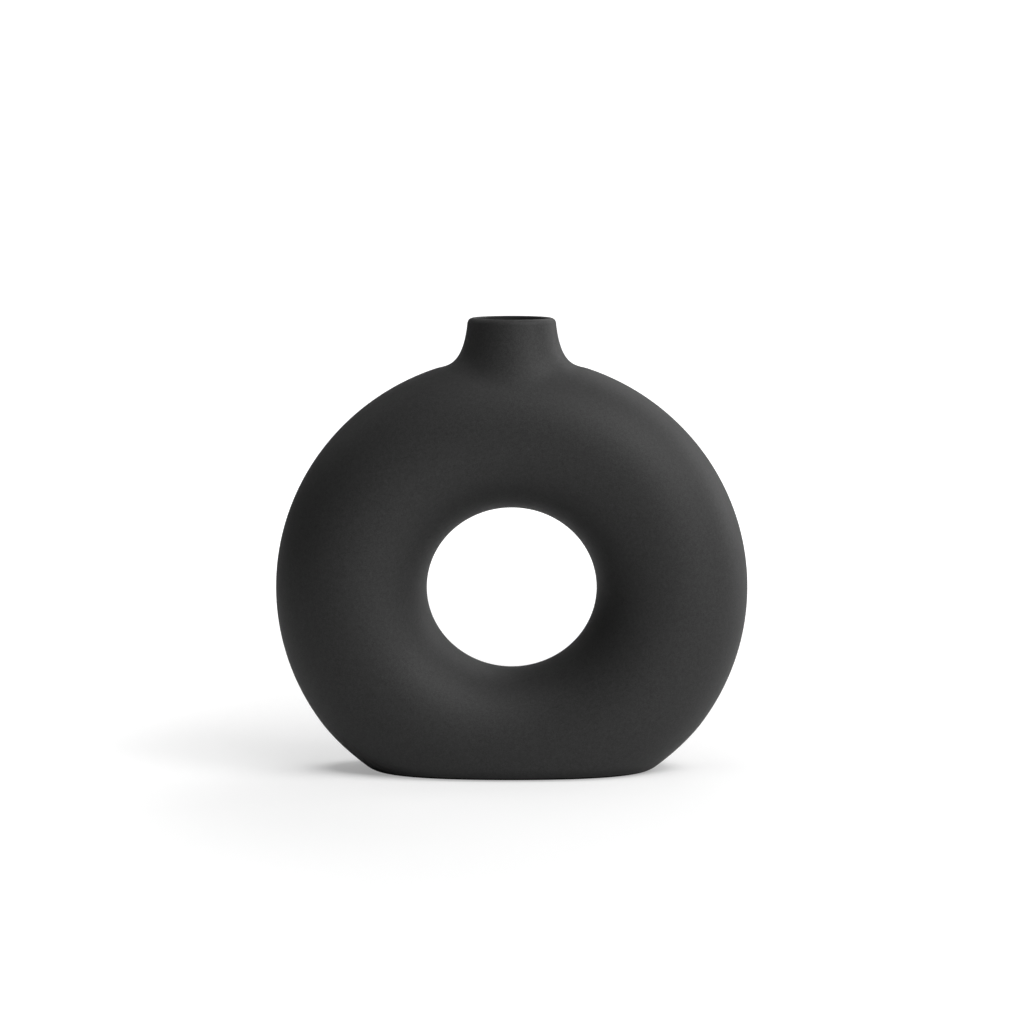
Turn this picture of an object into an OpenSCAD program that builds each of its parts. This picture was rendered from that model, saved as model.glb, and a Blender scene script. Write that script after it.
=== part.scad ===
/* [Ring] */
// Overall width of the ring, across both limbs
ring_w = 200; // [190:1:225]
// Height that the ring would have with no flat foot cut on it
ring_h = 196.4; // [188:0.2:220]
// Outside diameter of the hollow tube that the ring is made of
tube_d = 64; // [58:1:68]
// Thickness of the fired clay wall
wall = 5; // [4:0.5:7]

/* [Foot] */
// Depth cut off the bottom of the ring for the flat foot
foot_cut = 20.4; // [16:0.2:24]
// Thickness of the slab that closes the cut ring
slab_t = 6; // [4.5:0.5:7]
// Radius of the sponged edge round the foot
foot_edge_r = 1.8; // [1:0.1:4]
// Width of the rim that is left round the recess
foot_rim_w = 6.5; // [4:0.5:7]
// Depth of the recess under the foot
recess_depth = 1.2; // [0.8:0.1:2]

/* [Felt pads] */
// Diameter of each pad
pad_d = 12; // [8:0.5:14]
// Height that each pad stands proud of the foot rim
pad_proud = 0.5; // [0.2:0.1:1.5]
// Length of the foot that lies between the centres of the pads
pad_span = 68; // [50:1:76]

/* [Neck] */
// Height of the lip above the crest of the ring
neck_h = 16.2; // [12:0.2:30]
// Outside diameter of the neck just under its lip
neck_d = 37.4; // [35:0.2:42]
// Diameter of the mouth
mouth_d = 28; // [22:0.5:30]
// Width that the lip stands proud of the neck wall under it
lip_proud = 0.1; // [0.05:0.05:1]
// Outward lean of the neck wall under the lip, in degrees
neck_lean = 6; // [0:0.5:10]

/* [Collar] */
// Width of the collar where it meets the ring, along the ring
collar_w = 64; // [56:1:72]
// Depth of the collar where it meets the ring, across the tube
collar_d = 52; // [46:1:55]
// Length over which the neck runs down before it flares, at its sides
side_run = 19.2; // [14:0.2:22]
// Length over which the neck runs down before it flares, at front and back
front_run = 13.8; // [10:0.2:18]
// Length over which the flare lies down on the ring, at its sides
side_lay = 4.4; // [2:0.2:8]
// Length over which the flare lies down on the tube, at front and back
front_lay = 8; // [4:0.2:10]
// Height of the trimmed cone that opens the mouth into the ring
throat_h = 8; // [5:0.5:10]
// Width that the trimmed cone gains on each side of the mouth
throat_w = 5; // [3:0.5:7]

/* [Hidden] */

// How far every cut runs past the face that it opens
overrun = 1;
// Sides of the round faces
$fn = 128;
// Points round the outlines of the collar and the foot
collar_steps = 72;
foot_steps = 96;
// Steps down the flare of the neck and round the edge of the foot
flare_steps = 10;
edge_steps = 6;

glaze_colour = "#3b3c3b";
foot_colour = "#4a4846";
pad_colour = "#26241f";

// The tube, and the oval that its centre follows: four quarter circles joined by short straight runs
tube_r = tube_d / 2;
hollow_r = tube_r - wall;
arc_r = min(ring_w, ring_h) / 2 - tube_r;
run_x = ring_w / 2 - tube_r - arc_r;
run_z = ring_h / 2 - tube_r - arc_r;

// Heights above the surface that the pads rest on
foot_z = pad_proud;
seam_z = foot_z + slab_t;
ring_z = foot_z + ring_h / 2 - foot_cut;
crest_z = ring_z + ring_h / 2;
lip_z = crest_z + neck_h;

// The neck: its lip is a half round as wide as its wall
neck_r = neck_d / 2;
mouth_r = mouth_d / 2;
lip_r = (neck_r - mouth_r) / 2;
neck_top_z = lip_z - lip_r;
collar_low_z = crest_z - tube_r;
throat_top_z = crest_z - wall + overrun;

// The foot
pad_r = pad_d / 2;
pad_t = pad_proud + recess_depth;
recess_inset = foot_edge_r + foot_rim_w;
pad_x = pad_span / 2;
pad_y = foot_half_width(pad_x + pad_r, foot_z) - recess_inset - pad_r;

// How far x lies past the straight run
function past_run(x) = sign(x) * max(abs(x) - run_x, 0);

// Height of the tube's upper surface near the crest of the ring
function ring_top(x, y) =
    ring_z + run_z + sqrt((arc_r + sqrt(tube_r ^ 2 - y ^ 2)) ^ 2 - past_run(x) ^ 2);

// Slope of that surface going outward in the direction turn
function ring_top_slope(x, y, turn) =
    let (rise = sqrt(tube_r ^ 2 - y ^ 2))
    let (reach = ring_top(x, y) - ring_z - run_z)
    -(past_run(x) * cos(turn) + (arc_r + rise) * y / rise * sin(turn)) / reach;

// Half length and half width of a level slice through the bottom of the ring
function foot_drop(z) = ring_z - run_z - z;
function foot_half_length(z) =
    run_x + sqrt((arc_r + tube_r) ^ 2 - foot_drop(z) ^ 2);
function foot_half_width(x, z) =
    sqrt(max(0, tube_r ^ 2 - (norm([past_run(x), foot_drop(z)]) - arc_r) ^ 2));

// One point of that slice, and the same point drawn in by inset along the slice's normal
function foot_point(turn, z) =
    let (x = foot_half_length(z) * cos(turn))
    [x, sign(sin(turn)) * foot_half_width(x, z)];
function foot_normal(p, z) =
    let (far = norm([past_run(p.x), foot_drop(z)]))
    let (lean = [past_run(p.x) * (far - arc_r) / far, p.y])
    lean / norm(lean);
function foot_inset_point(turn, z, inset) =
    let (p = foot_point(turn, z))
    p - inset * foot_normal(p, z);
function foot_outline(z, inset) =
    [for (i = [0:foot_steps - 1]) foot_inset_point(360 * i / foot_steps, z, inset)];

// Radius of the collar's outline on the ring, an ellipse, in the direction turn
function collar_r(turn) =
    1 / norm([cos(turn) * 2 / collar_w, sin(turn) * 2 / collar_d]);

// Point at share t of a cubic curve
function cubic(a, b, c, d, t) =
    a * (1 - t) ^ 3 + 3 * b * t * (1 - t) ^ 2 + 3 * c * t ^ 2 * (1 - t) + d * t ^ 3;

// Radius and height of the neck's flare in the direction turn, from the ring at 0 to the lip at 1
function flare(turn, t) =
    let (r = collar_r(turn))
    let (x = r * cos(turn), y = r * sin(turn))
    let (frontness = sin(turn) ^ 2)
    let (run = side_run + (front_run - side_run) * frontness)
    let (lay = side_lay + (front_lay - side_lay) * frontness)
    let (slope = ring_top_slope(x, y, turn))
    let (low = [r, ring_top(x, y)], high = [neck_r - lip_proud, neck_top_z])
    cubic(low, low - lay * [1, slope] / norm([1, slope]),
        high + run * [sin(neck_lean), -cos(neck_lean)], high, t);

function around(turn, p) = [p[0] * cos(turn), p[0] * sin(turn), p[1]];

// Faces of a closed loft through rows of points that run up, each row count points long
function loft_faces(rows, count) = [
    [for (i = [0:count - 1]) i],
    for (j = [0:rows - 2])
        for (i = [0:count - 1])
            let (a = j * count + i, b = j * count + (i + 1) % count)
            each [[a, a + count, b + count], [a, b + count, b]],
    [for (i = [count - 1:-1:0]) (rows - 1) * count + i]
];

module loft(rows) {
    polyhedron([for (row = rows) each row], loft_faces(len(rows), len(rows[0])));
}

// A quarter of the ring, swept by a section drawn round zero, whose +y side faces the front
module quarter(start, side_x, side_z) {
    translate([0, 0, ring_z])
        translate([side_x * run_x, 0, side_z * run_z])
            rotate([90, 0, 0])
                rotate_extrude(angle = 90, start = start)
                    translate([arc_r, 0])
                        children();
}

// A straight run between two quarters, as two halves that meet in its middle
module straight(turn, side_x, side_z, half_length) {
    ahead = [sin(turn), 0, -cos(turn)];
    if (half_length > 0)
        for (start = [-half_length, 0])
            translate([0, 0, ring_z])
                translate([side_x * run_x, 0, side_z * run_z] + start * ahead)
                    rotate([90, 0, 0])
                        rotate([0, 0, turn])
                            translate([arc_r, 0, 0])
                                rotate([90, 0, 0])
                                    linear_extrude(half_length)
                                        children();
}

module crest_sweep() {
    quarter(0, 1, 1) children();
    straight(90, 0, 1, run_x) children();
    quarter(90, -1, 1) children();
}

module oval_sweep() {
    crest_sweep() children();
    straight(180, -1, 0, run_z) children();
    quarter(180, -1, -1) children();
    straight(270, 0, -1, run_x) children();
    quarter(270, 1, -1) children();
    straight(0, 1, 0, run_z) children();
}

// Half of the tube's wall in section, on the front side at 1 and on the back side at -1
module half_wall(side) {
    intersection() {
        difference() {
            circle(tube_r);
            circle(hollow_r);
        }
        translate([-tube_r - overrun, side > 0 ? 0 : -tube_r - overrun])
            square([2 * (tube_r + overrun), tube_r + overrun]);
    }
}

// Everything inside the collar's outline, from the middle of the tube up
module collar_column() {
    translate([0, 0, collar_low_z])
        linear_extrude(lip_z - collar_low_z + overrun)
            polygon([for (i = [0:collar_steps - 1])
                let (turn = 360 * i / collar_steps)
                collar_r(turn) * [cos(turn), sin(turn)]]);
}

// Everything below the seam between the ring and its slab
module below_seam() {
    translate([-ring_w, -tube_d, seam_z - ring_h])
        cube([2 * ring_w, 2 * tube_d, ring_h]);
}

module half_shell(side) {
    color(glaze_colour)
        difference() {
            oval_sweep() half_wall(side);
            below_seam();
            collar_column();
        }
}

module front_shell() {
    half_shell(1);
}

module back_shell() {
    half_shell(-1);
}

// The outside of the collar and neck as one lofted skin over a column
module neck_skin() {
    turns = [for (i = [0:collar_steps - 1]) 360 * i / collar_steps];
    column = [for (turn = turns) around(turn, [collar_r(turn), collar_low_z])];
    rows = [for (j = [0:flare_steps])
        [for (turn = turns) around(turn, flare(turn, j / flare_steps))]];
    loft(concat([column], rows));
}

module lip() {
    translate([0, 0, neck_top_z])
        rotate_extrude()
            translate([mouth_r + lip_r, 0])
                intersection() {
                    circle(lip_r);
                    translate([-lip_r - overrun, 0])
                        square([2 * (lip_r + overrun), lip_r + overrun]);
                }
}

module neck() {
    color(glaze_colour) {
        difference() {
            neck_skin();
            crest_sweep() circle(hollow_r);
            cylinder(h = lip_z, r = mouth_r);
            translate([0, 0, throat_top_z - throat_h])
                cylinder(h = throat_h, r1 = mouth_r + throat_w, r2 = mouth_r);
        }
        lip();
    }
}

module base_slab() {
    edge = [for (k = [0:edge_steps]) 90 * k / edge_steps];
    rounded = [for (a = edge)
        let (z = foot_z + foot_edge_r * (1 - cos(a)))
        [for (p = foot_outline(z, foot_edge_r * (1 - sin(a)))) [p.x, p.y, z]]];
    mid_z = (foot_z + foot_edge_r + seam_z) / 2;
    upper = [for (z = [mid_z, seam_z]) [for (p = foot_outline(z, 0)) [p.x, p.y, z]]];
    color(foot_colour)
        difference() {
            loft(concat(rounded, upper));
            translate([0, 0, foot_z - overrun])
                linear_extrude(recess_depth + overrun)
                    polygon(foot_outline(foot_z, recess_inset));
        }
}

module foot_pad(side_x, side_y) {
    color(pad_colour)
        translate([side_x * pad_x, side_y * pad_y, 0])
            cylinder(h = pad_t, r = pad_r);
}

module foot_pad_1() {
    foot_pad(-1, -1);
}

module foot_pad_2() {
    foot_pad(1, -1);
}

module foot_pad_3() {
    foot_pad(1, 1);
}

module foot_pad_4() {
    foot_pad(-1, 1);
}

front_shell();
back_shell();
neck();
base_slab();
foot_pad_1();
foot_pad_2();
foot_pad_3();
foot_pad_4();
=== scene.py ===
"""A ring-shaped stoneware vase with a short neck, in a white studio."""

import math
from functools import partialmethod

import bpy
import numpy as np
from bpy.props import FloatProperty, FloatVectorProperty, IntProperty, PointerProperty
from bpy.types import NodeSocket, Operator, Panel, PropertyGroup
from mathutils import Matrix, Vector


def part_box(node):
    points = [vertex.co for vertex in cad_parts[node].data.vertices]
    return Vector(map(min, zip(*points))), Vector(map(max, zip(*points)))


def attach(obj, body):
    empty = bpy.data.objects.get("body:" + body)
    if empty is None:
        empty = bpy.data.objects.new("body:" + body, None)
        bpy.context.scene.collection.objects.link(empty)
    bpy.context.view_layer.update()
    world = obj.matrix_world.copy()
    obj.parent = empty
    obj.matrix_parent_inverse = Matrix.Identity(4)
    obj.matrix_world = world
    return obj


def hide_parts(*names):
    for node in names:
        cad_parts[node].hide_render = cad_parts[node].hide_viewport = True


bl_info = {
    "name": "Ring Vase",
    "version": (1, 0, 0),
    "blender": (4, 5, 0),
    "location": "View3D > Sidebar > Vase",
    "description": "Makes a glazed ring-shaped vase and its studio",
    "category": "Object",
}

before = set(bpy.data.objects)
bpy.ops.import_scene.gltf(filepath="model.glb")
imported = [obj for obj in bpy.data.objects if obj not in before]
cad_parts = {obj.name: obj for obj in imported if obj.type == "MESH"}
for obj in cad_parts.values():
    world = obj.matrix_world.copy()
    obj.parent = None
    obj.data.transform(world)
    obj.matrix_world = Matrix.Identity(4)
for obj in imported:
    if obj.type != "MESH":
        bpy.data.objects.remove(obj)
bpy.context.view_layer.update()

SHELL_LOW, SHELL_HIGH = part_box("front_shell")
NECK_LOW, NECK_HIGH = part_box("neck")
SLAB_LOW, SLAB_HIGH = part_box("base_slab")

GLAZE = "Charcoal Glaze"
# Material of the painted shade inside the neck, a darker and less glossy glaze
NECK_SHADE = "Neck Shade Glaze"
FOOT_GLAZE = "Foot Glaze"
FOOT_CLAY = "Foot Clay"
FELT = "Pressed Felt"
PAPER = "Seamless Paper"
BLACK = (0.0, 0.0, 0.0)
WHITE = (1.0, 1.0, 1.0)
CLAY_ROUGHNESS = 0.85
FELT_ROUGHNESS, FELT_GLOSS = 0.95, 0.2
PAPER_ROUGHNESS, PAPER_GLOSS = 0.9, 0.1

# The mean of a noise, and where a colour mix has its share, its two colours and its result
MIDDLE = 0.5
MIX_INPUTS, MIX_RESULT = (0, 6, 7), 2

# Angles round the ring at the middle of the foot and at the crest
BOTTOM = 1.5 * math.pi
TOP = 2.5 * math.pi
QUARTER = math.pi / 2

# Mesh columns along the ring and rows round its tube, and the rows of the patch where it meets the neck
SIDE_COLUMNS, FOOT_COLUMNS, PATCH_COLUMNS = 64, 40, 40
TUBE_ROWS, PATCH_ROWS = 36, 16

# Mesh rows down the neck, and how many of the lip's rows the painted shade inside the neck covers
FLARE_ROWS, LIP_ROWS, BORE_ROWS, THROAT_ROWS, NECK_SHADE_ROWS = 32, 14, 6, 14, 5

# Mesh rows down the foot, and how many of its edge's rows the glaze covers
SIDE_ROWS, EDGE_ROWS, CORNER_ROWS, GLAZED_ROWS = 4, 12, 5, 4

# Mesh steps round a felt pad, over its face and round its edge
PAD_SECTORS, PAD_RINGS, PAD_CORNER_ROWS = 72, 14, 3

# How closely angles are solved, and how far a surface is followed to find its normal
ANGLE_ERROR = 1e-13
CREST_ROUNDS = 12
HAIR = 1e-6
NUDGE = 1e-4

# The camera's film in millimetres, what it sees in metres, and the points in the floor's sweep
SENSOR = 36
NEAREST, FARTHEST = 0.05, 50
SWEEP_POINTS = 25

# Painted shade the camera alone sees round the foot: size, shift, reach, and how much painted glow it takes
SHADE_SIZE = (0.1415, 0.0502)
SHADE_SHIFT = (-0.0055, 0.0048, 0.0)
SHADE_REACH, SHADE_DEPTH = 0.0204, 0.247

# Distances over which the painted glow turns the floor white, and how much sooner it does so beside the vase
WHITE_FROM, WHITE_PAST, WHITE_PULL = 0.181, 0.9, 2.55

# Name, turn to the right of the front and rise in degrees, distance and width in metres, power in watts
STUDIO_LIGHTS = (
    ("key_light", 45, 30, 2.0, 1.7, 18.6),
    ("right_overhead", 60, 42, 1.7, 0.9, 10.5),
    ("side_light", 120, 18, 1.7, 0.9, 8.6),
    ("back_light", 150, 42, 1.7, 0.9, 4.9),
    ("front_overhead", 0, 66, 1.7, 0.9, 4.0),
    ("top_light", 0, 90, 1.7, 0.9, 3.2),
    ("left_fill", 240, 42, 1.7, 0.9, 2.2),
)


def length(name, description, default):
    """A property that holds a length in metres."""
    return FloatProperty(name=name, description=description, default=default, precision=5, unit="LENGTH")


def colour(name, description, default):
    """A property that holds a linear colour."""
    return FloatVectorProperty(
        name=name, description=description, default=default, size=3, min=0, max=1, subtype="COLOR"
    )


def angle(name, description, degrees):
    """A property that holds an angle, with its default in degrees."""
    return FloatProperty(name=name, description=description, default=math.radians(degrees), subtype="ANGLE")


def number(name, description, default, low):
    """A property that holds a plain number, no lower than low."""
    return FloatProperty(name=name, description=description, default=default, min=low)


def share(name, description, default):
    """A property that holds a share of one."""
    return FloatProperty(name=name, description=description, default=default, min=0, max=1, subtype="FACTOR")


class RingSizes(PropertyGroup):
    """The hollow tube and the ring that it is bent into."""

    width: length("Width", "Width across both limbs", SHELL_HIGH.x - SHELL_LOW.x)
    height: length("Height", "Height of the oval before the foot is cut", 0.1964)
    tube: length("Tube", "Outside diameter of the tube", -2 * SHELL_LOW.y)
    wall: length("Wall", "Thickness of the fired wall", 0.005)
    centre_height: length("Centre height", "Height of the ring's centre", 0.0783)
    patch_reach: angle("Patch reach", "How far from the crest the mesh turns to meet the neck", 30)


class NeckSizes(PropertyGroup):
    """The neck, its lip and the collar that flares out on to the ring."""

    lip_height: length("Lip height", "Height of the lip", NECK_HIGH.z)
    diameter: length("Diameter", "Outside diameter just under the lip", 0.0374)
    mouth: length("Mouth", "Diameter of the mouth", 0.028)
    lean: angle("Lean", "Lean of the wall under the lip", 6)
    collar_width: length("Collar width", "Width of the collar", NECK_HIGH.x - NECK_LOW.x)
    collar_depth: length("Collar depth", "Depth of the collar", NECK_HIGH.y - NECK_LOW.y)
    side_run: length("Side run", "Run of the wall before it flares, at the sides", 0.0192)
    front_run: length("Front run", "Run of the wall before it flares, at the front", 0.0138)
    side_lay: length("Side lay", "Length of the flare on the ring, at the sides", 0.0044)
    front_lay: length("Front lay", "Length of the flare on the ring, at the front", 0.008)
    throat_height: length("Throat height", "Height at which the bore begins to widen", 0.176)
    throat_run: length("Throat run", "Run of the bore before it turns out", 0.006)
    throat_lay: length("Throat lay", "Length of the throat on the ring's inside", 0.006)


class FootSizes(PropertyGroup):
    """The slab that closes the ring, with its rounded edge and the recess under it."""

    rim_height: length("Rim height", "Height of the foot's rim", SLAB_LOW.z)
    seam_height: length("Seam height", "Height of the seam between slab and ring", SLAB_HIGH.z)
    edge_radius: length("Edge radius", "Radius of the sponged edge", 0.0018)
    rim: length("Rim", "Width of the flat rim", 0.0065)
    pare_share: share("Pare share", "Share by which the foot is pared in at the floor", 0.0267)
    pare_height: length("Pare height", "Height below which the ring is pared in", 0.02)
    pare_power: number("Pare power", "How gently the paring sets in", 1.6, 1)
    recess: length("Recess", "Depth of the recess", 0.0012)
    soft_edge: length("Soft edge", "Radius of the sponged corners of the recess", 0.0004)


class PadSizes(PropertyGroup):
    """The four felt pads under the foot."""

    soft_edge: length("Soft edge", "Radius of the cut edge", 0.0003)
    fuzz: length("Fuzz", "How uneven the felt is", 0.00006)
    seed: IntProperty(name="Seed", description="Seed of the felt's unevenness", default=5, min=0)


class FinishLook(PropertyGroup):
    """Colours and grain of the glaze, the bare clay and the felt."""

    glaze: colour("Glaze", "Charcoal glaze where it lies thick", (0.0245, 0.0245, 0.0245))
    glaze_thin: colour("Thin glaze", "The glaze where it draws thin over an edge", (0.045, 0.0445, 0.0435))
    # Painted shade inside the neck: a near-black colour that stands in for the shade in the hollow
    neck_shade: colour("Liner", "Liner glaze inside the neck", (0.008, 0.008, 0.008))
    clay: colour("Clay", "Bare stoneware under the foot", (0.085, 0.076, 0.068))
    clay_dark: colour("Dark clay", "Iron-rich grog in the stoneware", (0.03, 0.026, 0.023))
    # Painted shade on the foot's bare edge and on the walls of its recess
    clay_shade: colour("Clay stain", "Bare clay along the glaze line", (0.006, 0.006, 0.006))
    felt: colour("Felt", "Pressed wool felt", (0.022, 0.021, 0.02))
    felt_light: colour("Light fibres", "Pale fibres in the felt", (0.09, 0.085, 0.078))
    grain: length("Grain", "Size of the sandy grain", 0.00045)
    grain_height: length("Grain height", "Height of the sandy grain", 0.00003)
    grain_contrast: number("Grain contrast", "How far the grain shifts the tone", 2.4, 0)
    tone_spread: share("Tone spread", "How far the tone strays from the glaze's colour", 0.45)
    fleck_share: share("Fleck share", "Share of the grains that are pale flecks", 0.08)
    cloud: length("Cloud", "Size of the soft clouds in the glaze", 0.035)
    cloud_contrast: share("Cloud contrast", "How far the clouds shift the tone", 0.16)
    # Painted shade that darkens the glaze at the bottom of the foot, and the height at which it fades out
    painted_base_shade: share("Gathered glaze", "Darkness of the glaze at the foot's edge", 0.75)
    base_shade_height: length("Gather height", "Height up to which the glaze gathers", 0.006)
    roughness: share("Roughness", "Roughness of the glaze", 0.6)
    gloss: share("Gloss", "How strongly the glaze reflects", 0.364)
    # Lower gloss of the painted shade inside the neck, which dims its reflections as well
    neck_shade_gloss: share("Liner gloss", "How strongly the liner glaze reflects", 0.15)
    clay_gloss: share("Clay gloss", "How strongly the bare clay reflects", 0.05)


class StudioSizes(PropertyGroup):
    """The camera, and the seamless floor that it sees paler than it is, by a painted glow."""

    camera_x: length("Camera shift", "How far the camera stands to the right", 0.00012)
    camera_distance: length("Camera distance", "Distance in front of the vase", 1.5)
    camera_height: length("Camera height", "Height above the floor", 0.2718)
    camera_tilt: angle("Camera tilt", "How far the camera looks down", 6.14)
    lens: number("Lens", "Focal length in millimetres, on film that is 36 mm wide", 125.26, 1)
    floor_white: colour("Floor white", "Colour of the seamless floor", (0.9, 0.9, 0.9))
    # The camera alone sees this share of the floor's shading, with a painted glow of this strength on top
    floor_shading: share("Floor shading", "How much of the floor's shading is seen", 0.547)
    floor_glow: share("Floor lift", "How much paler the floor is seen", 0.569)
    light_aim: length("Light aim", "Height that the lights are turned to", 0.1)
    floor_width: length("Floor width", "Width of the floor", 6.0)
    floor_front: length("Floor front", "How far the floor reaches forward", 2.5)
    floor_back: length("Floor back", "How far it reaches back before it rises", 1.6)
    sweep_radius: length("Sweep radius", "Radius of the sweep up to the wall", 0.8)
    sweep_height: length("Sweep height", "Height of the wall", 2.4)


def unit(vectors):
    """The vectors at a length of one."""
    return vectors / np.linalg.norm(vectors, axis=-1, keepdims=True)


class Ring:
    """The ring's tube: a round section carried along an ellipse that stands in the XZ plane."""

    def __init__(self, sizes):
        self.outer_r = sizes.tube / 2
        self.hollow_r = self.outer_r - sizes.wall
        self.half_width = sizes.width / 2 - self.outer_r
        self.half_height = sizes.height / 2 - self.outer_r
        self.centre_z = sizes.centre_height

    def centre_line(self, u):
        """Centre of the tube and its outward direction at angle u, each as x and z."""
        across = np.cos(u)
        up = np.sin(u)
        centre = np.stack([self.half_width * across, self.centre_z + self.half_height * up], -1)
        outward = np.stack([self.half_height * across, self.half_width * up], -1)
        return centre, unit(outward)

    def surface(self, u, v, radius, side):
        """Points and normals at angle v, from 0 outermost to pi at the eye. side is -1 at the front."""
        u, v = np.broadcast_arrays(u, v)
        centre, outward = self.centre_line(u)
        reach = np.cos(v)
        normal = np.stack([reach * outward[..., 0], side * np.sin(v), reach * outward[..., 1]], -1)
        middle = np.stack([centre[..., 0], np.zeros_like(reach), centre[..., 1]], -1)
        return middle + radius * normal, normal

    def level_v(self, u, z, radius):
        """Angle round the tube at which column u passes level z, or 0 where it lies above."""
        centre, outward = self.centre_line(u)
        facing_down = outward[..., 1] < 0
        down = np.where(facing_down, outward[..., 1], -1)
        reach = np.where(facing_down, (z - centre[..., 1]) / (radius * down), 1)
        return np.arccos(np.clip(reach, -1, 1))

    def tip_angle(self, z, radius):
        """Angle from the ring's bottom at which its outermost line passes level z."""
        low, high = 0.0, QUARTER
        while high - low > ANGLE_ERROR:
            middle = (low + high) / 2
            point = self.surface(BOTTOM + middle, 0.0, radius, -1)[0]
            if point[2] < z:
                low = middle
            else:
                high = middle
        return low

    def crest_angles(self, x, y, radius):
        """Angles u and v of the point over x, y on the upper side of the ring."""
        v = np.arcsin(np.clip(np.abs(y) / radius, 0, 1))
        reach = radius * np.cos(v)
        stretch = np.full_like(x, self.half_width)
        for _ in range(CREST_ROUNDS):
            across = np.clip(x / (self.half_width + reach * self.half_height / stretch), -1, 1)
            stretch = np.hypot(self.half_height * across, self.half_width * np.sqrt(1 - across**2))
        return np.arccos(across), v


def tip_shares(ring, foot):
    """Shares from the foot's tip to its middle, closer together at the tip."""
    outer = ring.tip_angle(foot.seam_height, ring.outer_r)
    inner = ring.tip_angle(foot.seam_height, ring.hollow_r)
    return np.unique(np.append(np.linspace(0, 1, FOOT_COLUMNS + 1), math.sqrt(1 - inner / outer)))


def foot_angles(ring, shares, z):
    """Angles from the bottom of the ring to the foot's columns, at the level z."""
    return ring.tip_angle(z, ring.outer_r) * (1 - shares**2)


def collar_radius(neck, turn):
    """Radius of the collar's outline on the ring, an ellipse seen from above."""
    return 1 / np.hypot(2 * np.cos(turn) / neck.collar_width, 2 * np.sin(turn) / neck.collar_depth)


def patch_edge(sizes):
    """Angles from the crest and round the tube, for each point on the patch's edge."""
    drop = np.linspace(0, QUARTER, TUBE_ROWS + 1)
    sweep = np.linspace(sizes.patch_reach, -sizes.patch_reach, PATCH_COLUMNS + 1)
    u = np.concatenate([np.full(TUBE_ROWS, sweep[0]), sweep, np.full(TUBE_ROWS, sweep[-1])])
    v = np.concatenate([drop[:-1], np.full(len(sweep), drop[-1]), drop[-2::-1]])
    return u, v


def patch_turns(ring, sizes):
    """Angle seen from above, for each mesh line from the neck to the patch's edge."""
    u, v = patch_edge(sizes)
    return np.arctan2(v * ring.outer_r, -u * (ring.half_width + ring.outer_r))


def footprint(ring, neck, turn, radius):
    """Angles u and v at which the collar's outline meets the tube of that radius."""
    reach = collar_radius(neck, turn)
    return ring.crest_angles(reach * np.cos(turn), reach * np.sin(turn), radius)


def cubic(a, b, c, d, t):
    """Points at the shares t of each cubic curve."""
    t = np.asarray(t)[:, None, None]
    return a * (1 - t) ** 3 + 3 * b * t * (1 - t) ** 2 + 3 * c * t**2 * (1 - t) + d * t**3


def placed(name, data):
    """A new object in the scene."""
    made = bpy.data.objects.new(name, data)
    bpy.context.scene.collection.objects.link(made)
    return made


def closed(numbers):
    """Rows of point numbers that end where they begin."""
    return np.concatenate([numbers, numbers[:, :1]], axis=1)


class MeshDraft:
    """The points and faces of one piece. A curved face takes the true normals of its points."""

    def __init__(self):
        self.points = []
        self.normals = []
        self.faces = []
        self.curved = []
        self.finishes = []
        self.total = 0

    def add(self, points, normals):
        """Takes a block of points and returns their numbers in the same shape."""
        self.points.append(points.reshape(-1, 3))
        self.normals.append(np.broadcast_to(normals, points.shape).reshape(-1, 3))
        numbers = self.total + np.arange(points[..., 0].size).reshape(points.shape[:-1])
        self.total += numbers.size
        return numbers

    def quads(self, grid, curved=True, flip=False, finish=0):
        """Faces of one finish over a block of point numbers."""
        grid = np.asarray(grid)
        corners = [grid[:-1, :-1], grid[1:, :-1], grid[1:, 1:], grid[:-1, 1:]]
        loops = np.stack(corners, -1).reshape(-1, 4)
        if flip:
            loops = loops[:, ::-1]
        for loop in loops.tolist():
            face = [p for i, p in enumerate(loop) if p != loop[i - 1]]
            if len(face) > 2 and min(face) >= 0:
                self.faces.append(face)
                self.curved.append(curved)
                self.finishes.append(finish)

    def pare(self, foot):
        """Squeezes the piece along x near the floor, where the clay is pared in."""
        points = np.concatenate(self.points)
        normals = np.concatenate(self.normals)
        depth = np.clip(1 - points[:, 2] / foot.pare_height, 0, 1)
        squeeze = 1 - foot.pare_share * depth**foot.pare_power
        steep = foot.pare_share * foot.pare_power * depth ** (foot.pare_power - 1) / foot.pare_height
        lean = normals[:, 0] / squeeze
        normals = np.stack([lean, normals[:, 1], normals[:, 2] - steep * points[:, 0] * lean], -1)
        points[:, 0] *= squeeze
        self.points = [points]
        self.normals = [unit(normals)]

    def finish(self, name, *materials):
        """Makes the object, with one material for each of its finishes."""
        mesh = bpy.data.meshes.new(name)
        mesh.from_pydata(np.concatenate(self.points).tolist(), [], self.faces)
        for material in materials:
            mesh.materials.append(material_named(material))
        mesh.polygons.foreach_set("material_index", self.finishes)
        mesh.polygons.foreach_set("use_smooth", self.curved)
        flat = np.empty(len(self.faces) * 3, np.float32)
        mesh.polygons.foreach_get("normal", flat)
        sides = [len(face) for face in self.faces]
        flat = np.repeat(flat.reshape(-1, 3), sides, axis=0)
        smooth = np.repeat(self.curved, sides)
        true = np.concatenate(self.normals)[np.concatenate(self.faces)]
        mesh.normals_split_custom_set(np.where(smooth[:, None], true, flat).tolist())
        return placed(name, mesh)


def seat(piece, node):
    """Puts the piece on the vase in the place of a CAD node."""
    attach(piece, "root")
    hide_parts(node)


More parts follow.
